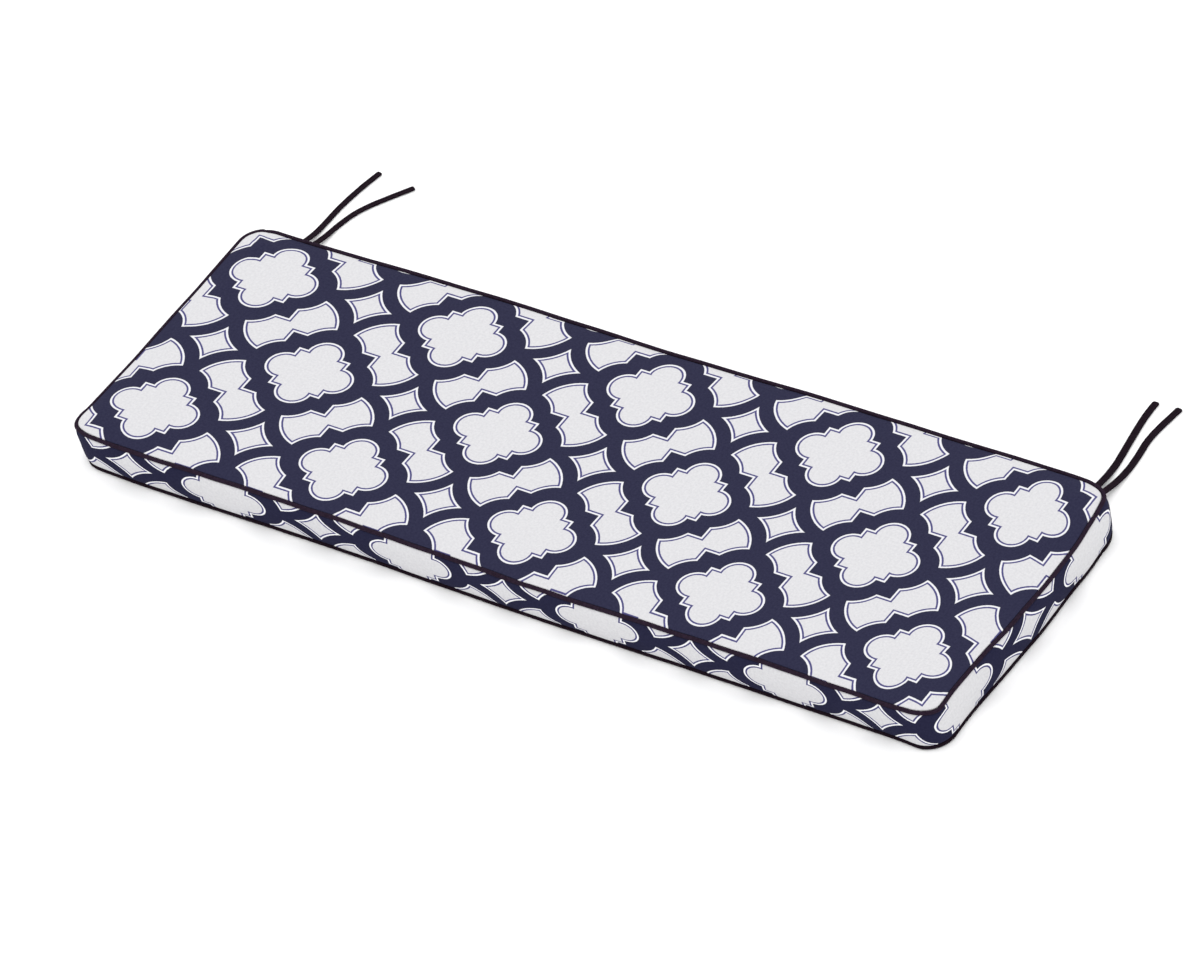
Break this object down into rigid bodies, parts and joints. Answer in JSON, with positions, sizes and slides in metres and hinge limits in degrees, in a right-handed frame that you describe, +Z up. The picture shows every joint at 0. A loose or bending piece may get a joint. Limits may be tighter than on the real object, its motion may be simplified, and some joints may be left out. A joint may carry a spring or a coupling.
{
  "type": "bench cushion with tie straps",
  "caption": "Long thin boxed seat cushion with piped top and bottom seams, a printed cloth cover and two pairs of tie straps leaving its back corners.",
  "frame": {"origin": "centre of the cushion's box at its underside, without the ties", "axes": "+X along the cushion's length, +Y to the side that the ties leave, +Z up through its thickness"},
  "size_m": [1.1844, 0.6109, 0.0643],
  "materials": {
    "cover": "woven outdoor cloth printed with a navy and off-white quatrefoil trellis",
    "piping": "cloth-covered cord, dark plum, matte",
    "ties": "flat sewn strap, dark plum, matte"
  },
  "bodies": {
    "root": {"cushion": "cover", "piping_top": "piping", "piping_bottom": "piping", "tie_left_outer": "ties", "tie_left_inner": "ties", "tie_right_inner": "ties", "tie_right_outer": "ties"}
  },
  "joints": []
}
